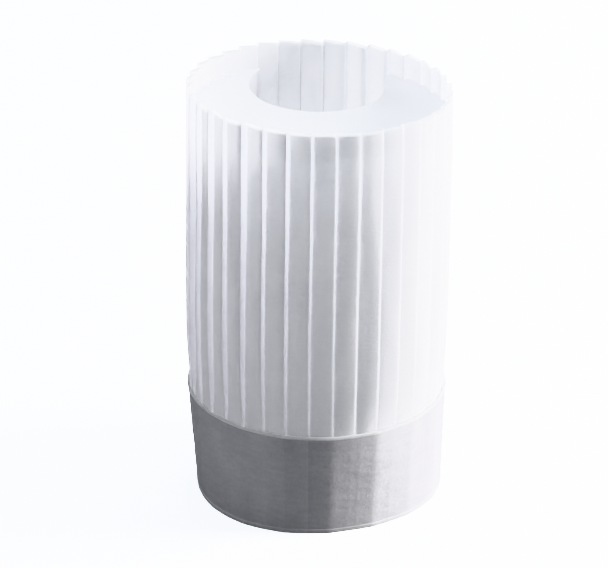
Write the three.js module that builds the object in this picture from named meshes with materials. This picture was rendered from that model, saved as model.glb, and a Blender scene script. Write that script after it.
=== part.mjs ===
import * as THREE from 'three';

// A tall pleated paper hat standing on its head opening. Millimetres and degrees, +Z up,
// the front faces -Y, and the origin is on the surface that the hat stands on.

// Driving dimensions
const hatHeight = 300;
const bandHeight = 78.5;
const bandFootRadius = 87.6;
const bandTopRadius = 91.6;
const bandThickness = 1.2;
const hemWidth = 4;
const hemThickness = 0.5;
const paperThickness = 1;
const fitGap = 0.3;

const pleatCount = 36;
const pleatPitch = 360 / pleatCount;
const frontFoldAngle = -92.6;
const riserLean = 1.2;
const panelBelly = 0.1; // a panel's bow outwards, for each millimetre of its depth
const crownFoot = 3;
const rimRise = 2;

const sheetDrop = 18;
const sheetSag = 3;
const sheetSagWidth = 60;
const sheetLeastWidth = 1.5;
const openingRadius = 47;
const openingCentre = { x: -2, y: 48 };
const openingEdgeCurl = 0.8;
const openPleats = 6;

// Folded by hand, the pleats wander a little round the hat.
const foldWander = [
  { waves: 1, swing: 0.8, phase: -120 },
  { waves: 2, swing: 1.2, phase: 93 },
];

// Pulled tight round the pleats, the band's foot isn't quite round. Further up it grows round.
const footWaves = [
  { waves: 1, swing: 0.7, phase: 0 },
  { waves: 3, swing: 2.2, phase: 32 },
];

// Nor are the pleats equally deep. Each row turns by a step from one pleat to the next, and by a
// climb for each millimetre of height.
const foldUnevenness = [
  { swing: 0.26, step: 170, climb: 0.3, phase: 40 },
  { swing: 0.16, step: 97, climb: -0.7, phase: 200 },
];

// Level sections of the crown. radius is taken over the outer folds, depth is the step
// from an outer fold down to the next panel, and lean moves the section towards +X.
const crownSections = [
  { height: crownFoot, radius: bandBore(crownFoot) - fitGap, depth: 1.2, lean: 0 },
  { height: bandHeight, radius: bandBore(bandHeight) - fitGap, depth: 1.4, lean: 0 },
  { height: 88, radius: 90.5, depth: 2, lean: -0.1 },
  { height: 102, radius: 91.6, depth: 2.7, lean: -0.2 },
  { height: 120, radius: 92.3, depth: 3.3, lean: -0.3 },
  { height: 155, radius: 92.3, depth: 3.6, lean: -0.3 },
  { height: 190, radius: 92.1, depth: 3.7, lean: -0.1 },
  { height: 230, radius: 91.5, depth: 3.6, lean: 0.2 },
  { height: 270, radius: 91.2, depth: 3.3, lean: 0.3 },
  { height: hatHeight, radius: 90.6, depth: 3.1, lean: 0.2 },
];

// Inner radius of the plain part of the band at a height.
function bandBore(height) {
  return bandOutside(height) - bandThickness;
}

function bandOutside(height) {
  return THREE.MathUtils.lerp(bandFootRadius, bandTopRadius, height / bandHeight);
}

function waveSum(waves, angle) {
  let sum = 0;
  for (const wave of waves) {
    sum += wave.swing * Math.cos(THREE.MathUtils.degToRad(wave.waves * angle + wave.phase));
  }
  return sum;
}

function foldAngle(pleat) {
  const even = frontFoldAngle + pleat * pleatPitch;
  return even + waveSum(foldWander, even);
}

// How far the hat stands out of round at an angle, below the band's top edge.
function outOfRound(angle, height) {
  return waveSum(footWaves, angle) * Math.max(1 - height / bandHeight, 0);
}

// Depth of the step at one pleat's fold.
function foldDepth(section, pleat) {
  let share = 1;
  for (const wave of foldUnevenness) {
    const turn = wave.step * pleat + wave.climb * section.height + wave.phase;
    share += wave.swing * Math.cos(THREE.MathUtils.degToRad(turn));
  }
  return section.depth * share;
}

// Angle in degrees that an arc of this length takes at a radius.
function arcAngle(length, radius) {
  return THREE.MathUtils.radToDeg(length / radius);
}

// The crown's section at any height, between the rows of the table.
function sectionAt(height) {
  let upper = 1;
  while (upper < crownSections.length - 1 && crownSections[upper].height < height) {
    upper += 1;
  }
  const below = crownSections[upper - 1];
  const above = crownSections[upper];
  const share = (height - below.height) / (above.height - below.height);
  const between = (name) => THREE.MathUtils.lerp(below[name], above[name], share);
  return { height, radius: between('radius'), depth: between('depth'), lean: between('lean') };
}

// Closed outline of the pleats at a section, counter-clockwise from above. Each pleat gives
// the inner fold that its panel starts from, the panel's middle and its outer fold.
// inset moves the outline inwards, square to the panels and to the risers.
function pleatOutline(section, inset) {
  const outline = [];
  const back = arcAngle(inset, section.radius);
  const lean = arcAngle(riserLean, section.radius);
  for (let pleat = 0; pleat < pleatCount; pleat += 1) {
    const start = foldAngle(pleat - 1) + lean - back;
    const end = foldAngle(pleat) - back;
    const outer = section.radius - inset;
    const inner = outer - foldDepth(section, (pleat + pleatCount - 1) % pleatCount);
    outline.push(placed(inner, start, section));
    const middle = (inner + outer) / 2 + panelBelly * section.depth;
    outline.push(placed(middle, (start + end) / 2, section));
    outline.push(placed(outer, end, section));
  }
  return outline;
}

// A point of the crown from its radius and angle. The rim stands a little higher at -X.
function placed(radius, angle, section) {
  const turn = THREE.MathUtils.degToRad(angle);
  const reach = radius + outOfRound(angle, section.height);
  const x = section.lean + reach * Math.cos(turn);
  const y = reach * Math.sin(turn);
  const rise = 1 - (rimRise * x) / (hatHeight * bandTopRadius);
  return new THREE.Vector3(x, y, section.height * rise);
}

// A closed skin from rows of points. Each row joins the next, and the last joins the first.
// The points of a row join round too. Open rows are capped at both ends, where each row of
// one face meets its partner on the other.
function skin(rows, roundRows) {
  const count = rows[0].length;
  const positions = rows.flat().flatMap((point) => [point.x, point.y, point.z]);
  const faces = [];
  const lastStep = roundRows ? count : count - 1;
  for (let row = 0; row < rows.length; row += 1) {
    const next = (row + 1) % rows.length;
    for (let step = 0; step < lastStep; step += 1) {
      const along = (step + 1) % count;
      const a = row * count + step;
      const b = row * count + along;
      const c = next * count + along;
      const d = next * count + step;
      faces.push(a, b, c, a, c, d);
    }
  }
  if (!roundRows) {
    const last = count - 1;
    for (let row = 0; row < rows.length / 2 - 1; row += 1) {
      const a = row * count;
      const b = (row + 1) * count;
      const c = (rows.length - 2 - row) * count;
      const d = (rows.length - 1 - row) * count;
      faces.push(a, b, c, a, c, d);
      faces.push(a + last, c + last, b + last, a + last, d + last, c + last);
    }
  }
  const geometry = new THREE.BufferGeometry();
  geometry.setAttribute('position', new THREE.Float32BufferAttribute(positions, 3));
  geometry.setIndex(faces);
  geometry.computeVertexNormals();
  return geometry;
}

// Outside face from the foot to the rim, then the inside face back down.
function crownGeometry() {
  const outside = crownSections.map((section) => pleatOutline(section, 0));
  const inside = crownSections.map((section) => pleatOutline(section, paperThickness));
  return skin([...outside, ...inside.reverse()], true);
}

// The band is creased over every outer fold and almost flat between two of them.
function bandRing(radius, height) {
  const ring = [];
  const flat = Math.cos(THREE.MathUtils.degToRad(pleatPitch / 2));
  for (let pleat = 0; pleat < pleatCount; pleat += 1) {
    const crease = foldAngle(pleat);
    const middle = (crease + foldAngle(pleat + 1)) / 2;
    for (const [angle, share] of [[crease, 1], [middle, (1 + flat) / 2]]) {
      const turn = THREE.MathUtils.degToRad(angle);
      const reach = (radius + outOfRound(angle, height)) * share;
      ring.push(new THREE.Vector3(reach * Math.cos(turn), reach * Math.sin(turn), height));
    }
  }
  return ring;
}

// The outside steps out over the turned hem at the top edge and at the foot.
function bandGeometry() {
  const hemTop = bandHeight - hemWidth;
  const outsideRows = [
    { height: 0, proud: hemThickness },
    { height: hemWidth, proud: hemThickness },
    { height: hemWidth + hemThickness, proud: 0 },
    { height: hemTop - hemThickness, proud: 0 },
    { height: hemTop, proud: hemThickness },
    { height: bandHeight, proud: hemThickness },
  ];
  const outside = outsideRows.map((row) => bandRing(bandOutside(row.height) + row.proud, row.height));
  const inside = [bandHeight, 0].map((height) => bandRing(bandBore(height), height));
  return skin([...outside, ...inside], true);
}

// Height of the sheet's upper face. It hangs between the wall and its opening, and the
// opening's edge curls up a little. across runs from the wall, 0, to the opening, 1. The sheet
// hangs less where it is narrow.
function sheetHeight(across, width) {
  const hang = sheetSag * Math.sin((Math.PI / 2) * across) - openingEdgeCurl * across ** 3;
  return hatHeight - sheetDrop - hang * Math.min(width / sheetSagWidth, 1);
}

// A crescent, fitted into the pleats along its outside and cut round along its opening.
// From each point of its outside it runs straight in, clear of the pleats, to a ledge, and
// from there to the nearest point of the opening. Its tips keep a least width.
function sheetGeometry() {
  const section = sectionAt(hatHeight - sheetDrop);
  const seat = pleatOutline(section, paperThickness + fitGap);
  const pointsPerPleat = seat.length / pleatCount;
  const seatCount = (pleatCount - openPleats) * pointsPerPleat;
  const first = (pleatCount + openPleats) / 2 + 1;
  const middle = new THREE.Vector2(section.lean, 0);
  const deepest = foldUnevenness.reduce((share, wave) => share + wave.swing, 1);
  const ledgeRadius = section.radius - deepest * section.depth - paperThickness - 2 * fitGap;
  const opening = new THREE.Vector2(openingCentre.x, openingCentre.y);
  const sheetRows = [0, 0.35, 0.7, 1];
  const upper = [[], ...sheetRows.map(() => [])];
  for (let step = 0; step < seatCount; step += 1) {
    const wall = seat[(first * pointsPerPleat + step) % seat.length];
    const edge = new THREE.Vector2(wall.x, wall.y);
    const ledge = edge.clone().sub(middle).setLength(ledgeRadius).add(middle);
    const reach = ledge.distanceTo(opening);
    const width = Math.max(reach - openingRadius, sheetLeastWidth);
    const lip = ledge.clone().lerp(opening, width / reach);
    upper[0].push(sheetPoint(edge, 0, width));
    sheetRows.forEach((across, row) => {
      upper[row + 1].push(sheetPoint(ledge.clone().lerp(lip, across), across, width));
    });
  }
  const drop = new THREE.Vector3(0, 0, -paperThickness);
  const lower = upper.map((row) => row.map((point) => point.clone().add(drop)));
  return skin([...upper, ...lower.reverse()], false);
}

function sheetPoint(plan, across, width) {
  const rise = (-rimRise * plan.x) / bandTopRadius;
  return new THREE.Vector3(plan.x, plan.y, sheetHeight(across, width) + rise);
}

function paper(colour, roughness) {
  return new THREE.MeshStandardMaterial({ color: colour, roughness, metalness: 0, side: THREE.FrontSide });
}

function piece(name, geometry, material) {
  const mesh = new THREE.Mesh(geometry, material);
  mesh.name = name;
  return mesh;
}

const hat = new THREE.Group();
hat.add(piece('pleated_crown', crownGeometry(), paper(0xf1f2f5, 0.85)));
hat.add(piece('head_band', bandGeometry(), paper(0xeceef0, 0.8)));
hat.add(piece('top_sheet', sheetGeometry(), paper(0xf5f6f7, 0.9)));

export default hat;
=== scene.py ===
import math

import bpy
from mathutils import Matrix, Vector, noise


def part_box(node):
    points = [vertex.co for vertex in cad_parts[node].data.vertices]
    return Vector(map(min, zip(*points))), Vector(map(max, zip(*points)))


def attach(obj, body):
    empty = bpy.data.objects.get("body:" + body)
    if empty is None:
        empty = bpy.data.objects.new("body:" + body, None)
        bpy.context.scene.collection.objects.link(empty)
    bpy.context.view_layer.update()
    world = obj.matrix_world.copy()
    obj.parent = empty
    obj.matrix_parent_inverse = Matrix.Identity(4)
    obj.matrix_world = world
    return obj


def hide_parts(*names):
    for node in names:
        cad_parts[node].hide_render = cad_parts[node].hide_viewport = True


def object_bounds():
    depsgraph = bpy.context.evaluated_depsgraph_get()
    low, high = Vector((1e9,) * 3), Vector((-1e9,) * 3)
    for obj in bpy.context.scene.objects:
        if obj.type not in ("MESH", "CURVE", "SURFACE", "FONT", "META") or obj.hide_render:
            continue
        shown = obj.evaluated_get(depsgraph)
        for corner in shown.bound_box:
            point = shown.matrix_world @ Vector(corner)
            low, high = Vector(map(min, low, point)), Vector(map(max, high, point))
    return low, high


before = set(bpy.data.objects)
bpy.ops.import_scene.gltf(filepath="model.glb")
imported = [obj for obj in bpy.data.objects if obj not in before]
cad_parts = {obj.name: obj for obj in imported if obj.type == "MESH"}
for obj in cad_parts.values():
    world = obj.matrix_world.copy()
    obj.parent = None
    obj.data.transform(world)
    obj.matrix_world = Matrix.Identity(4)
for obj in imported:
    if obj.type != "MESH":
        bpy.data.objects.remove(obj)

print("frame loaded:", sorted(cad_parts))
cadLow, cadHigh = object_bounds()
hatTop = cadHigh.z
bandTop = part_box("head_band")[1].z


# Tools for selecting and finishing, used by every piece

mergeDistance = 0.00002  # vertices closer than this are one


def dropSelection():
    for item in bpy.context.selected_objects:
        item.select_set(False)
    bpy.context.view_layer.objects.active = None


def pick(piece):
    dropSelection()
    piece.select_set(True)
    bpy.context.view_layer.objects.active = piece


def openForEditing(piece):
    pick(piece)
    bpy.ops.object.mode_set(mode="EDIT")
    bpy.ops.mesh.select_mode(type="VERT")
    bpy.ops.mesh.select_all(action="SELECT")


def closeEditing():
    bpy.ops.object.mode_set(mode="OBJECT")


def mergeAndFaceOut(piece):
    openForEditing(piece)
    bpy.ops.mesh.remove_doubles(threshold=mergeDistance)
    bpy.ops.mesh.normals_make_consistent(inside=False)
    closeEditing()


def applyModifier(piece, kind, **settings):
    # The settings go by the modifier's own names for them.
    pick(piece)
    modifier = piece.modifiers.new(kind.title(), kind)
    for name, value in settings.items():
        setattr(modifier, name, value)
    bpy.ops.object.modifier_apply(modifier=modifier.name)


def roundEdges(piece, width, segments, sharperThan):
    applyModifier(piece, "BEVEL", width=width, segments=segments, limit_method="ANGLE",
                  angle_limit=math.radians(sharperThan), use_clamp_overlap=True)


def finishPiece(piece, node, material, smoothUnder):
    pick(piece)
    bpy.ops.object.transform_apply(location=True, rotation=True, scale=True)
    bpy.ops.object.shade_smooth_by_angle(angle=math.radians(smoothUnder))
    piece.data.materials.clear()
    piece.data.materials.append(material)
    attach(piece, "root")
    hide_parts(node)
    print(piece.name, "made,", len(piece.data.polygons), "faces")


def addFlatSheet(name, columns, rows):
    # A sheet of paper before it is folded.
    bpy.ops.mesh.primitive_grid_add(x_subdivisions=columns, y_subdivisions=rows, size=1, location=(0, 0, 0))
    piece = bpy.context.object
    piece.name = name
    return piece


def columnAndRow(vertex, columns, rows):
    # Where a vertex of the flat sheet stands in it, counted from the sheet's corner.
    return round((vertex.co.x + 0.5) * columns), round((vertex.co.y + 0.5) * rows)


def mix(low, high, share):
    return low + (high - low) * share


def clamp(share):
    return min(max(share, 0), 1)


# How the paper is pleated. The crown, the band over it and the sheet inside it all read this.
# Lengths are in metres, angles in degrees. Waves are listed by how many go round the hat, their
# swing and their phase.
pleating = {
    "pleats": 36,
    "frontFold": -92.6,  # the outer fold nearest the front
    "riserLean": 0.0012,  # how far ahead of its outer fold a riser meets the next panel
    "wander": [(1, 0.8, -120), (2, 1.2, 93)],  # the folds wander a little round the hat
    "footWaves": [(1, 0.0007, 0), (3, 0.0022, 32)],  # and the band's foot isn't quite round
    "unevenness": [  # of the folds' depth: swing, turn for each pleat, turn for each metre up, phase
        (0.26, 170, 300, 40),
        (0.16, 97, -700, 200),
    ],
    "heldTo": 0.077,  # the band holds the folds even up to here
    "setFree": 0.02,  # and above that they come free over this height
    "bulge": (0.0003, 170, -150),  # under the band they stand out: swing, turn for each, phase
    "sections": [  # height, radius over the outer folds, depth of a fold, lean to the right
        (0.003, 0.08625, 0.0014, 0.0),
        (0.072, 0.08975, 0.0009, 0.0),
        (0.0785, 0.0901, 0.0011, 0.0),
        (0.088, 0.0906, 0.0021, -0.0001),
        (0.102, 0.0916, 0.0030, -0.0002),
        (0.120, 0.0923, 0.0035, -0.0003),
        (0.155, 0.0923, 0.0036, -0.0003),
        (0.190, 0.0921, 0.0037, -0.0001),
        (0.230, 0.0915, 0.0036, 0.0002),
        (0.270, 0.0912, 0.0033, 0.0003),
        (0.300, 0.0906, 0.0031, 0.0002),
    ],
    "easing": 0.4,  # 0 runs straight from one section to the next, 1 is smoothest
    "height": 0.3,
    "sideRadius": 0.0916,
    "rimRise": 0.002,  # the rim stands this much higher at the left side
}
pitch = 360 / pleating["pleats"]


def waveSum(rows, angle):
    return sum(swing * math.cos(math.radians(waves * angle + phase)) for waves, swing, phase in rows)


def foldAngle(pleat):
    even = pleating["frontFold"] + pleat * pitch
    return even + waveSum(pleating["wander"], even)


def outOfRound(angle, height):
    return waveSum(pleating["footWaves"], angle) * max(1 - height / bandTop, 0)


def sectionAt(height):
    rows = pleating["sections"]
    upper = 1
    while upper < len(rows) - 1 and rows[upper][0] < height:
        upper += 1
    low, high = rows[upper - 1], rows[upper]
    share = clamp((height - low[0]) / (high[0] - low[0]))
    share = mix(share, share * share * (3 - 2 * share), pleating["easing"])
    return [mix(below, above, share) for below, above in zip(low[1:], high[1:])]


def freedom(height):
    # 0 where the band holds the folds, 1 where they stand free.
    return clamp((height - pleating["heldTo"]) / pleating["setFree"])


def foldDepth(pleat, height, depth):
    pleat %= pleating["pleats"]
    share = 1
    for swing, step, climb, phase in pleating["unevenness"]:
        turn = math.radians(step * pleat + climb * height + phase)
        share += freedom(height) * swing * math.cos(turn)
    return depth * share


def foldBulge(pleat):
    swing, step, phase = pleating["bulge"]
    return swing * (1 + math.cos(math.radians(step * (pleat % pleating["pleats"]) + phase)))


def onHat(radius, angle, height, lean):
    turn = math.radians(angle)
    radius += outOfRound(angle, height)
    x = lean + radius * math.cos(turn)
    y = radius * math.sin(turn)
    rise = 1 - pleating["rimRise"] * x / (pleating["height"] * pleating["sideRadius"])
    return Vector((x, y, height * rise))


# Crown: one long sheet of paper, laid flat and folded into knife pleats

crown = {
    "foot": 0.003,  # it ends this far above the floor, inside the band
    "rows": 60,
    "foldAt": (("riser", 0.0), ("riser", 0.5), ("panel", 0.0), ("panel", 0.07), ("panel", 0.2),
               ("panel", 0.38), ("panel", 0.56), ("panel", 0.74), ("panel", 0.9)),
    "paper": 0.00045,
    "rimPaper": 0.0011,  # the rim is turned over once
    "rimHem": 0.0035,
    "hemRows": (0.6, 0.25, 0),  # shares of the hem that lie above each of its rows
    "hemSteepness": 1.4,  # how fast the hem grows to its full thickness
    "belly": 0.0002,  # how far a panel bows out between its folds
    "buckle": 0.0005,  # and how far it is dented
    "buckleSteps": (5.3, 16, 1.3),  # in the noise, for a pleat, a metre up and a panel's width
    "cornerRise": 0.0009,  # at the rim a panel's outer corner stands this much above its inner one
    "rimRipple": 0.0004,
    "rippleSpot": (3.1, 4.2, 0.5),  # in the noise: a step for each pleat, and two fixed places
    "rimZone": 0.015,  # both fade out this far below the rim
    "foldRound": 0.00022,
    "roundSteps": 2,
    "sharperThan": 38,  # only folds sharper than this are rounded
    "smoothUnder": 28,  # and bends gentler than this are shaded smooth
    "flat": (0.678, 0.297),  # unfolded, it is narrower at the foot
    "flatArea": 0.1913,
}


def pleatPoint(pleat, part, share, height):
    radius, depth, lean = sectionAt(height)
    held = 1 - freedom(height)
    lastOuter = radius + foldBulge(pleat - 1) * held
    outer = radius + foldBulge(pleat) * held
    inner = lastOuter - foldDepth(pleat - 1, height, depth)
    ahead = math.degrees(pleating["riserLean"] / radius)
    if part == "riser":  # from the last outer fold in to the next panel
        angle = foldAngle(pleat - 1) + ahead * share
        return mix(lastOuter, inner, share), angle, lean
    bow = 4 * share * (1 - share)
    spot = Vector([place * step for place, step in zip((pleat, height, share), crown["buckleSteps"])])
    buckle = crown["buckle"] * noise.noise(spot) * bow
    out = mix(inner, outer, share) + crown["belly"] * bow + buckle
    angle = mix(foldAngle(pleat - 1) + ahead, foldAngle(pleat), share)
    return out, angle, lean


def crownHeights():
    top, hem = pleating["height"], crown["rimHem"]
    last = crown["rows"] - len(crown["hemRows"])
    plain = [mix(crown["foot"], top - hem, row / last) for row in range(last + 1)]
    return plain + [top - hem * share for share in crown["hemRows"]]


def rimLift(pleat, part, share, height):
    # Near the rim the corners of the panels stand up and down, and the edge ripples.
    near = max(0, 1 - (pleating["height"] - height) / crown["rimZone"])
    outwards = share if part == "panel" else 1 - share
    step, second, third = crown["rippleSpot"]
    ripple = crown["rimRipple"] * noise.noise(Vector((pleat * step, second, third)))
    return near * (crown["cornerRise"] * (outwards - 0.5) + ripple)


def makeCrown(material):
    columns = pleating["pleats"] * len(crown["foldAt"])
    heights = crownHeights()
    rows = len(heights) - 1
    piece = addFlatSheet("pleatedCrown", columns, rows)
    for vertex in piece.data.vertices:
        column, row = columnAndRow(vertex, columns, rows)
        pleat, step = divmod(column, len(crown["foldAt"]))
        part, share = crown["foldAt"][step]
        out, angle, lean = pleatPoint(pleat, part, share, heights[row])
        height = heights[row] + rimLift(pleat, part, share, heights[row])
        vertex.co = onHat(out, angle, height, lean)
    mergeAndFaceOut(piece)
    thick = piece.vertex_groups.new(name="rimHem")
    for vertex in piece.data.vertices:
        aboveHem = (vertex.co.z - (pleating["height"] - crown["rimHem"])) / crown["rimHem"]
        thick.add([vertex.index], clamp(aboveHem * crown["hemSteepness"]), "REPLACE")
    roundEdges(piece, crown["foldRound"], crown["roundSteps"], crown["sharperThan"])
    applyModifier(piece, "SOLIDIFY", thickness=crown["rimPaper"], offset=-1, use_even_offset=False,
                  vertex_group="rimHem", thickness_vertex_group=crown["paper"] / crown["rimPaper"])
    piece.vertex_groups.clear()
    finishPiece(piece, "pleated_crown", material, crown["smoothUnder"])
    return piece


# Band: a folded strip pulled round the foot of the pleats, its end lapped at the back

band = {
    "footRadius": 0.0876,
    "topRadius": 0.0916,
    "thickness": 0.0012,
    "rows": 60,
    "rowEnds": (0.005, 0.004),  # the even rows keep this far from the foot and the top edge
    "footHem": (0.0031, 0.0003),  # how far it reaches from the edge and how far it stands out
    "topHem": (0.0019, 0.00045),
    "footRows": (0.0012, 0.0026, 0.0030, 0.0034),  # further rows, where the hems end
    "topRows": (0.0028, 0.0022, 0.0018, 0.0012),
    "edgeRound": 0.00045,
    "roundSteps": 3,
    "sharperThan": 60,
    "smoothUnder": 35,
    "perFacet": 8,  # columns of faces from one crease to the next
    "creaseDepth": 0.8,  # 0 is a round band, 1 one that is flat from crease to crease
    "creaseLine": 0.00014,  # depth of the fine line at a crease
    "crinkle": 0.00016,
    "crinkleWaves": [  # share, steps in the noise round the hat and for a metre up, where it starts
        (1, 5, 130, (0, 0)),
        (0.55, 11, 330, (3, 1)),
    ],
    "crinkleEnds": (0.0032, 0.003),  # there is none nearer to the foot and the top edge
    "crinkleGrows": 0.006,  # and it is at its full depth this much further in
    "lapAt": 18.3,  # pleats from the front fold to where the outer end lies over the inner one
    "lapLength": 2.2,  # pleats, over which the outer end settles down on the inner one
    "lapEdge": 0.012,
    "lapPaper": 0.0008,
    "flat": (0.567, 0.0785),
}
oneColumn = 1 / band["perFacet"]
lapStart = round(band["lapAt"] * band["perFacet"]) * oneColumn


def bandRows():
    afterFoot, beforeTop = band["rowEnds"]
    last = band["rows"] - 1
    rows = list(band["footRows"])
    rows += [mix(afterFoot, bandTop - beforeTop, row / last) for row in range(last + 1)]
    return rows + [bandTop - below for below in band["topRows"]]


def stepsRound(spot):
    # How many pleats a place is past the front fold.
    turn = math.degrees(math.atan2(spot.y, spot.x))
    return ((turn - pleating["frontFold"]) / pitch) % pleating["pleats"]


def mapAround(piece):
    # A facet of the band is as wide on the map as a pleat is on the crown's.
    mesh = piece.data
    for face in mesh.polygons:
        middle = stepsRound(face.center)
        for loop in face.loop_indices:
            spot = mesh.vertices[mesh.loops[loop].vertex_index].co
            steps = stepsRound(spot)
            if middle - steps > pleating["pleats"] / 2:
                steps += pleating["pleats"]
            if steps - middle > pleating["pleats"] / 2:
                steps -= pleating["pleats"]
            mesh.uv_layers.active.data[loop].uv = (steps / pleating["pleats"], spot.z / bandTop)


def raisedBy(height, pastLap):
    # How far the hems and the lap lift the band's outer face.
    raised = 0
    for (reach, lift), fromEdge in ((band["footHem"], height), (band["topHem"], bandTop - height)):
        if fromEdge < reach:
            raised += lift
    if oneColumn / 2 < pastLap < band["lapLength"]:
        raised += band["lapPaper"] * (1 - pastLap / band["lapLength"])
    return raised


def bandCrinkle(direction, height):
    atFoot, atTop = band["crinkleEnds"]
    away = clamp(min(height - atFoot, bandTop - atTop - height) / band["crinkleGrows"])
    along = Vector((math.cos(direction), math.sin(direction), 0))
    crinkle = 0
    for share, around, up, start in band["crinkleWaves"]:
        crinkle += share * noise.noise(along * around + Vector((*start, height * up)))
    return band["crinkle"] * crinkle * away


def bandPoint(spot):
    height = spot.z
    inward = band["footRadius"] - math.hypot(spot.x, spot.y)
    outside = 1 - inward / band["thickness"]  # 1 on the outer face, 0 on the inner one
    steps = stepsRound(spot)
    pastLap = steps - lapStart
    if abs(pastLap - oneColumn) < oneColumn / 2:
        steps -= oneColumn - band["lapEdge"]  # draws one column close for a sharp edge
    pleat, share = int(steps), steps - int(steps)
    angle = mix(foldAngle(pleat), foldAngle(pleat + 1), share)
    direction = math.radians(angle)
    flat = math.cos(math.radians(pitch / 2)) / math.cos(math.radians((share - 0.5) * pitch))
    face = mix(band["footRadius"], band["topRadius"], height / bandTop) + outOfRound(angle, height)
    reach = face * mix(1, flat, band["creaseDepth"]) - inward
    reach += mix(foldBulge(pleat), foldBulge(pleat + 1), share)
    if abs(steps - round(steps)) < oneColumn / 2:
        reach -= band["creaseLine"]
    reach += raisedBy(height, pastLap) * outside + bandCrinkle(direction, height)
    return Vector((reach * math.cos(direction), reach * math.sin(direction), height))


def makeBand(material):
    bpy.ops.mesh.primitive_cylinder_add(
        vertices=pleating["pleats"] * band["perFacet"], radius=band["footRadius"], depth=bandTop,
        end_fill_type="NOTHING", location=(0, 0, bandTop / 2)
    )
    piece = bpy.context.object
    piece.name = "headBand"
    pick(piece)
    bpy.ops.object.transform_apply(location=True, rotation=True, scale=True)
    openForEditing(piece)
    for height in bandRows():
        bpy.ops.mesh.select_all(action="SELECT")
        bpy.ops.mesh.bisect(plane_co=(0, 0, height), plane_no=(0, 0, 1))
    closeEditing()
    mergeAndFaceOut(piece)
    applyModifier(piece, "SOLIDIFY", thickness=band["thickness"], offset=-1, use_even_offset=True)
    roundEdges(piece, band["edgeRound"], band["roundSteps"], band["sharperThan"])
    mapAround(piece)
    for vertex in piece.data.vertices:
        vertex.co = bandPoint(vertex.co)
    finishPiece(piece, "head_band", material, band["smoothUnder"])
    return piece


# Top sheet: a smooth sheet with a round opening, its margin tucked into the pleats

topSheet = {
    "level": 0.282,  # where it meets the pleats
    "openPleats": 6,  # the sheet leaves this many pleats free at the back
    "fit": 0.0009,  # gap left between the sheet and the outside of the pleats
    "ledge": 0.0016,  # the sheet proper starts this far inside the deepest fold
    "opening": (-0.002, 0.048, 0.047),  # centre and radius
    "rows": 22,  # from the pleats to the opening
    "sag": 0.003,
    "sagWidth": 0.06,  # it sags less where it is narrower than this
    "lipCurl": 0.0008,  # its edge at the opening turns up again
    "wave": 0.0007,  # it isn't quite flat
    "waveSpot": (22, 3),  # in the noise: a step for each metre, and a fixed height
    "waveGrows": 4,
    "endColumns": 14,  # over this many columns each end is rounded off
    "endLedge": 0.3,  # and its ledge draws back to this share of its depth
    "leastWidth": 0.0006,
    "paper": 0.00045,
    "smoothUnder": 40,
    "flat": (0.18, 0.17),
    "flatArea": 0.018,  # a crescent
}


def sheetSeats():
    # Where the sheet's edge meets the pleats, all the way round from one end to the other.
    radius = sectionAt(topSheet["level"])[0]
    back = math.degrees(topSheet["fit"] / radius)
    first = (pleating["pleats"] + topSheet["openPleats"]) // 2 + 1
    seats = []
    for pleat in range(first, first + pleating["pleats"] - topSheet["openPleats"]):
        for part, share in crown["foldAt"][2:] + (("panel", 1.0),):
            out, angle, lean = pleatPoint(pleat, part, share, topSheet["level"])
            turn = math.radians(angle - back)
            reach = out - topSheet["fit"]
            seats.append(Vector((lean + reach * math.cos(turn), reach * math.sin(turn))))
    return seats


def sheetHeight(spot, across, width):
    # across runs from the pleats, 0, to the opening, 1.
    sag = topSheet["sag"] * math.sin(math.pi / 2 * across) - topSheet["lipCurl"] * across ** 3
    sag *= min(width / topSheet["sagWidth"], 1)
    step, third = topSheet["waveSpot"]
    wave = topSheet["wave"] * noise.noise(Vector((spot.x * step, spot.y * step, third)))
    wave *= min(1, across * topSheet["waveGrows"])
    rise = -pleating["rimRise"] * spot.x / pleating["sideRadius"]
    return topSheet["level"] - sag + rise + wave


def makeTopSheet(material):
    radius, depth, lean = sectionAt(topSheet["level"])
    deepest = 1 + sum(row[0] for row in pleating["unevenness"])
    ledgeRadius = radius - depth * deepest - topSheet["ledge"]
    centre = Vector((lean, 0))
    opening, openingRadius = Vector(topSheet["opening"][:2]), topSheet["opening"][2]
    seats = sheetSeats()
    columns, rows = len(seats) - 1, topSheet["rows"]
    piece = addFlatSheet("topSheet", columns, rows)
    for vertex in piece.data.vertices:
        column, row = columnAndRow(vertex, columns, rows)
        seat = seats[column]
        fromEnd = min(min(column, columns - column) / topSheet["endColumns"], 1)
        rounding = math.sqrt(1 - (1 - fromEnd) ** 2)
        ledge = centre + (seat - centre).normalized() * ledgeRadius
        ledge = seat.lerp(ledge, mix(topSheet["endLedge"], 1, rounding))
        fromOpening = ledge - opening
        width = max(fromOpening.length - openingRadius, topSheet["leastWidth"]) * rounding
        lip = ledge - fromOpening.normalized() * width
        across = max(0, (row - 1) / (rows - 1))
        spot = ledge.lerp(lip, across) if row else seat
        vertex.co = Vector((spot.x, spot.y, sheetHeight(spot, across, width)))
    mergeAndFaceOut(piece)
    applyModifier(piece, "SOLIDIFY", thickness=topSheet["paper"], offset=-1, use_even_offset=False)
    piece.visible_shadow = False  # thin enough that the walls below it stay lit
    finishPiece(piece, "top_sheet", material, topSheet["smoothUnder"])
    return piece


# Tools for building materials

def feed(tree, socket, value):
    # A socket takes a number, a colour or another node's output.
    if isinstance(value, bpy.types.NodeSocket):
        tree.links.new(value, socket)
    else:
        socket.default_value = value


def addMath(tree, operation, first, second=0):
    node = tree.nodes.new("ShaderNodeMath")
    node.operation = operation
    feed(tree, node.inputs[0], first)
    feed(tree, node.inputs[1], second)
    return node.outputs[0]


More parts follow.
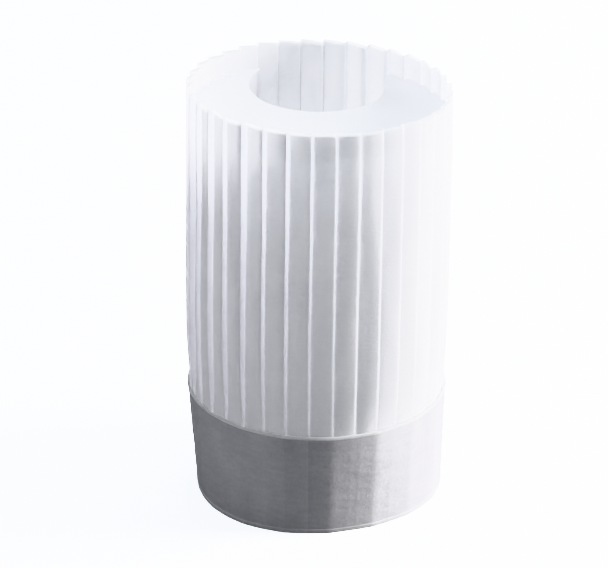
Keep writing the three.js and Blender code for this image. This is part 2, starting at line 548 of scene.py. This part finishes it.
def addMix(tree, factor, first, second):
    node = tree.nodes.new("ShaderNodeMix")
    node.data_type = "RGBA"
    for name, value in (("Factor", factor), ("A", first), ("B", second)):
        socket = [one for one in node.inputs if one.name == name and one.enabled][0]
        feed(tree, socket, value)
    return [one for one in node.outputs if one.enabled][0]


def addRamp(tree, source, stops):
    ramp = tree.nodes.new("ShaderNodeValToRGB")
    while len(ramp.color_ramp.elements) < len(stops):
        ramp.color_ramp.elements.new(0.5)
    for element, (position, value) in zip(ramp.color_ramp.elements, stops):
        element.position = position
        element.color = (value, value, value, 1)
    tree.links.new(source, ramp.inputs["Fac"])
    return ramp.outputs["Color"]


def addNoise(tree, place, size, detail, roughness):
    node = tree.nodes.new("ShaderNodeTexNoise")
    node.inputs["Detail"].default_value = detail
    node.inputs["Roughness"].default_value = roughness
    tree.links.new(place, node.inputs["Vector"])
    tree.links.new(size, node.inputs["Scale"])
    return node.outputs["Fac"]


def addChance(tree, number):
    node = tree.nodes.new("ShaderNodeTexWhiteNoise")
    node.noise_dimensions = "1D"
    tree.links.new(number, node.inputs["W"])
    return node.outputs["Value"]


def splitMap(tree):
    # The map runs once round the hat and once up it.
    place = tree.nodes.new("ShaderNodeUVMap")
    split = tree.nodes.new("ShaderNodeSeparateXYZ")
    tree.links.new(place.outputs["UV"], split.inputs[0])
    return split.outputs["X"], split.outputs["Y"]


def startGroup(name, inputs, outputs):
    group = bpy.data.node_groups.new(name, "ShaderNodeTree")
    face = group.interface
    for label, start in inputs:
        socket = face.new_socket(name=label, in_out="INPUT", socket_type="NodeSocketFloat")
        socket.default_value = start
    for label in outputs:
        face.new_socket(name=label, in_out="OUTPUT", socket_type="NodeSocketFloat")
    given = group.nodes.new("NodeGroupInput")
    result = group.nodes.new("NodeGroupOutput")
    return group, given.outputs, result.inputs


def addGroup(tree, group, values):
    node = tree.nodes.new("ShaderNodeGroup")
    node.node_tree = group
    for name, value in values.items():
        node.inputs[name].default_value = value
    return node.outputs


# The paper's grain: long fibres that lie in layers, short ones every way, and cloudy patches.
grain = {
    "long": (4, 0.65),  # detail and roughness of each noise
    "short": (2, 0.5),
    "cloud": (3, 0.5),
    "longShare": 0.65,
    "shortShare": 0.35,
    "shortFineness": 4,  # times as fine as the long ones
}


def makeFibreGroup():
    starts = (("Fibre Size", 300), ("Cloud Size", 30), ("Layering", 4))
    group, given, result = startGroup("paperFibre", starts, ("Cloud", "Fibre"))
    place = group.nodes.new("ShaderNodeTexCoord").outputs["Object"]
    stretch = group.nodes.new("ShaderNodeCombineXYZ")
    stretch.inputs["X"].default_value = 1
    stretch.inputs["Y"].default_value = 1
    group.links.new(given["Layering"], stretch.inputs["Z"])
    layered = group.nodes.new("ShaderNodeVectorMath")
    layered.operation = "MULTIPLY"
    group.links.new(place, layered.inputs[0])
    group.links.new(stretch.outputs[0], layered.inputs[1])
    shortSize = addMath(group, "MULTIPLY", given["Fibre Size"], grain["shortFineness"])
    longFibre = addNoise(group, layered.outputs[0], given["Fibre Size"], *grain["long"])
    shortFibre = addNoise(group, place, shortSize, *grain["short"])
    longPart = addMath(group, "MULTIPLY", longFibre, grain["longShare"])
    shortPart = addMath(group, "MULTIPLY", shortFibre, grain["shortShare"])
    group.links.new(addMath(group, "ADD", longPart, shortPart), result["Fibre"])
    group.links.new(addNoise(group, place, given["Cloud Size"], *grain["cloud"]), result["Cloud"])
    return group


def makePleatToneAndShadeGroup():
    # Gives each pleat, or each facet of the band, a tone of its own: random on the crown, on the band
    # painted shade that changes from facet to facet. Blend draws it on towards the next one's.
    starts = (("Pleats", pleating["pleats"]), ("Tone Start", 0), ("Blend", 0))
    group, given, result = startGroup("pleatToneAndShade", starts, ("Tone",))
    around = addMath(group, "MULTIPLY", splitMap(group)[0], given["Pleats"])
    pleat = addMath(group, "ADD", addMath(group, "FLOOR", around), given["Tone Start"])
    tone = addChance(group, pleat)
    nextTone = addChance(group, addMath(group, "ADD", pleat, 1))
    onward = addMath(group, "MULTIPLY", addMath(group, "FRACT", around), given["Blend"])
    change = addMath(group, "MULTIPLY", addMath(group, "SUBTRACT", nextTone, tone), onward)
    group.links.new(addMath(group, "ADD", tone, change), result["Tone"])
    return group


# Finishes. thin and full are the colours of the thinnest and the densest paper; the band's are lowered
# to grey for painted shade. glow is the share of the light that goes through one face. In the crown it
# changes across each pleat: the riser is one layer, and near its outer fold a panel lies over the next
# one. edge lists how far up the map the turned hem whitens, with 1 where it is whitest; on the band
# this whitening paints light lines along the top edge and the foot.
finishes = {
    "crownPaper": {
        "thin": (0.935, 0.935, 0.955), "full": (0.985, 0.985, 0.99),
        "fibre": {"Fibre Size": 130, "Cloud Size": 40, "Layering": 5}, "bump": 0.3,
        "glow": [(0.0, 0.98), (0.21, 0.97), (0.25, 0.78), (0.31, 0.47), (0.38, 0.35), (0.6, 0.37),
                 (0.85, 0.4), (0.97, 0.41), (1.0, 0.35)],
        "edge": [(0.935, 0), (0.965, 0.5), (0.98, 1)], "edgeGlow": 0.9,
        "pleatToneAndShade": {"Tone Start": 0, "Blend": 0}, "toneAndShadeSwing": 0.3,
    },
    "bandPaper": {
        # painted shade: the band's white paper is given a lilac grey, so that its shaded side reads dark
        "thin": (0.5, 0.495, 0.525), "full": (0.72, 0.715, 0.74),
        "fibre": {"Fibre Size": 110, "Cloud Size": 30, "Layering": 3}, "bump": 0.45,
        "glow": [(0.0, 0.06), (0.04, 0.1), (0.96, 0.1), (1.0, 0.06)],
        # painted highlight: the hems are whitened, fully at the top edge and partly at the foot, into light
        # lines against the grey
        "edge": [(0.0, 0.4), (0.04, 0.35), (0.055, 0), (0.968, 0), (0.976, 1)], "edgeGlow": 0.6,
        # painted shade: this tone start and blend make the facets darker and lighter one by one, as the
        # shade falls across the band
        "pleatToneAndShade": {"Tone Start": 149398, "Blend": 0.7}, "toneAndShadeSwing": 0.5,
    },
    "sheetPaper": {
        "thin": (0.93, 0.94, 0.955), "full": (0.985, 0.985, 0.99),
        "fibre": {"Fibre Size": 300, "Cloud Size": 25, "Layering": 1}, "bump": 0.15,
        "glow": 0.5,
    },
}
everyPaper = {
    "hemWhite": (0.985, 0.985, 0.99),
    "roughness": 0.82,
    "gloss": 0.25,
    "bumpDepth": 0.0006,
    "grainShare": 0.9,  # how strongly clouds and fibres change the density
    "grainDrop": 0.4,
}


def addDensity(tree, fibre):
    parts = [addMath(tree, "MULTIPLY", fibre[name], everyPaper["grainShare"]) for name in ("Cloud", "Fibre")]
    return addMath(tree, "SUBTRACT", addMath(tree, "ADD", *parts), everyPaper["grainDrop"])


def makePaper(name, fibreGroup, toneAndShadeGroup):
    finish = finishes[name]
    thin, full = (*finish["thin"], 1), (*finish["full"], 1)
    material = bpy.data.materials.new(name)
    material.use_nodes = True
    tree = material.node_tree
    nodes, links = tree.nodes, tree.links
    nodes.clear()
    output = nodes.new("ShaderNodeOutputMaterial")
    shader = nodes.new("ShaderNodeBsdfPrincipled")
    shader.inputs["Roughness"].default_value = everyPaper["roughness"]
    shader.inputs["Specular IOR Level"].default_value = everyPaper["gloss"]
    through = nodes.new("ShaderNodeBsdfTranslucent")
    both = nodes.new("ShaderNodeMixShader")
    fibre = addGroup(tree, fibreGroup, finish["fibre"])
    density = addDensity(tree, fibre)
    if "pleatToneAndShade" in finish:
        pleat = addGroup(tree, toneAndShadeGroup, {"Pleats": pleating["pleats"], **finish["pleatToneAndShade"]})
        swing = addMath(tree, "MULTIPLY", pleat["Tone"], finish["toneAndShadeSwing"])
        density = addMath(tree, "SUBTRACT", addMath(tree, "ADD", density, swing), finish["toneAndShadeSwing"] / 2)
        around, up = splitMap(tree)
        acrossPleat = addMath(tree, "FRACT", addMath(tree, "MULTIPLY", around, pleating["pleats"]))
        glow = addRamp(tree, acrossPleat, finish["glow"])
        # on the band this ramp paints light lines along its hems
        hem = addRamp(tree, up, finish["edge"])
        hemGlow = addMath(tree, "MULTIPLY", hem, finish["edgeGlow"])
        links.new(addMath(tree, "MAXIMUM", glow, hemGlow), both.inputs["Fac"])
        colour = addMix(tree, hem, addMix(tree, density, thin, full), (*everyPaper["hemWhite"], 1))
    else:
        both.inputs["Fac"].default_value = finish["glow"]
        colour = addMix(tree, density, thin, full)
    bump = nodes.new("ShaderNodeBump")
    bump.inputs["Strength"].default_value = finish["bump"]
    bump.inputs["Distance"].default_value = everyPaper["bumpDepth"]
    links.new(fibre["Fibre"], bump.inputs["Height"])
    links.new(colour, shader.inputs["Base Color"])
    links.new(colour, through.inputs["Color"])
    for receiver in (shader, through):
        links.new(bump.outputs["Normal"], receiver.inputs["Normal"])
    links.new(shader.outputs[0], both.inputs[1])
    links.new(through.outputs[0], both.inputs[2])
    links.new(both.outputs[0], output.inputs["Surface"])
    return material


# Studio: pale floor, soft light from the right and above, camera at the photo's angle

studio = {
    "floorSize": 14,
    "floorTint": (0.98, 0.985, 0.99),
    "floorSeen": 9.0,  # the floor is shot over bright, so that only the darkest shade shows on it
    "floorPaint": 0.3,  # how much light it throws back
    "world": (0.80, 0.86, 0.95),
    "worldStrength": 0.143,
    "lamps": {  # azimuth and elevation in degrees, distance and size in metres, power in watts, colour
        "keyLight": (4, 15, 2.2, 0.9, 128, (1.0, 0.99, 0.98)),
        "backLight": (74, 16, 2.4, 1.6, 63, (0.94, 0.97, 1.0)),
        "fillLight": (-165, 18, 2.4, 2.0, 10.5, (0.96, 0.97, 1.0)),
        "topLight": (90, 88, 2.4, 2.6, 36, (0.95, 0.97, 1.0)),
    },
}


def showToCamera(tree, plain, bright, output):
    # The camera sees the bright shader. Light that falls on it meets the plain one.
    path = tree.nodes.new("ShaderNodeLightPath")
    both = tree.nodes.new("ShaderNodeMixShader")
    tree.links.new(path.outputs["Is Camera Ray"], both.inputs["Fac"])
    tree.links.new(plain.outputs[0], both.inputs[1])
    tree.links.new(bright.outputs[0], both.inputs[2])
    tree.links.new(both.outputs[0], output.inputs["Surface"])


def makeFloor():
    bpy.ops.mesh.primitive_plane_add(size=studio["floorSize"], location=(0, 0, 0))
    floor = bpy.context.object
    floor.name = "studioFloor"
    material = bpy.data.materials.new("paleFloor")
    material.use_nodes = True
    nodes = material.node_tree.nodes
    nodes.remove(nodes["Principled BSDF"])
    plain = nodes.new("ShaderNodeBsdfDiffuse")
    plain.inputs["Color"].default_value = (*[studio["floorPaint"]] * 3, 1)
    bright = nodes.new("ShaderNodeBsdfDiffuse")
    seenTint = [studio["floorSeen"] * share for share in studio["floorTint"]]
    bright.inputs["Color"].default_value = (*seenTint, 1)
    showToCamera(material.node_tree, plain, bright, nodes["Material Output"])
    floor.data.materials.append(material)
    return floor


def makeLamp(name, azimuth, elevation, distance, size, power, colour):
    turn, lift = math.radians(azimuth), math.radians(elevation)
    aim = Vector((0, 0, hatTop / 2))
    away = Vector((math.cos(turn) * math.cos(lift), math.sin(turn) * math.cos(lift), math.sin(lift)))
    bpy.ops.object.light_add(type="AREA", location=aim + away * distance)
    lamp = bpy.context.object
    lamp.name = name
    lamp.data.shape = "DISK"
    lamp.data.size = size
    lamp.data.energy = power
    lamp.data.color = colour
    lamp.rotation_euler = (-away).to_track_quat("-Z", "Y").to_euler()
    return lamp


def makeWorld():
    world = bpy.data.worlds.new("studioWorld")
    bpy.context.scene.world = world
    world.use_nodes = True
    nodes = world.node_tree.nodes
    sky = nodes["Background"]
    sky.inputs["Color"].default_value = (*studio["world"], 1)
    sky.inputs["Strength"].default_value = studio["worldStrength"]
    seen = nodes.new("ShaderNodeBackground")
    seen.inputs["Color"].default_value = (*studio["floorTint"], 1)
    seen.inputs["Strength"].default_value = studio["floorSeen"]
    showToCamera(world.node_tree, sky, seen, nodes["World Output"])


# The photo's camera, worked out from the rim, the band and the pleats

photoCamera = {
    "spot": Vector((0, -1.6328, 0.9191)),
    "aim": Vector((-0.0093, 0, 0.1510)),
    "roll": math.radians(0.41),
    "lens": 152.5,
    "sensor": 36,
}


def makeCamera():
    spot, roll = photoCamera["spot"], photoCamera["roll"]
    bpy.ops.object.camera_add(location=spot)
    camera = bpy.context.object
    camera.name = "photoCamera"
    camera.data.lens = photoCamera["lens"]
    camera.data.sensor_width = photoCamera["sensor"]
    ahead = (photoCamera["aim"] - spot).normalized()
    level = ahead.cross(Vector((0, 0, 1))).normalized()
    upright = level.cross(ahead)
    right = level * math.cos(roll) + upright * math.sin(roll)
    up = upright * math.cos(roll) - level * math.sin(roll)
    frameAxes = Matrix((right, up, -ahead)).transposed().to_4x4()
    camera.matrix_world = Matrix.Translation(spot) @ frameAxes
    bpy.context.scene.camera = camera
    bpy.context.scene.view_settings.view_transform = "Khronos PBR Neutral"
    return camera


dropSelection()
makeCamera()
print("camera set")

fibreGroup = makeFibreGroup()
toneAndShadeGroup = makePleatToneAndShadeGroup()
crownPaper = makePaper("crownPaper", fibreGroup, toneAndShadeGroup)
bandPaper = makePaper("bandPaper", fibreGroup, toneAndShadeGroup)
sheetPaper = makePaper("sheetPaper", fibreGroup, toneAndShadeGroup)
print("papers mixed")

makeCrown(crownPaper)
makeBand(bandPaper)
makeTopSheet(sheetPaper)
print("hat folded")

makeFloor()
for lampName, lampFacts in studio["lamps"].items():
    makeLamp(lampName, *lampFacts)
makeWorld()
print("studio lit")
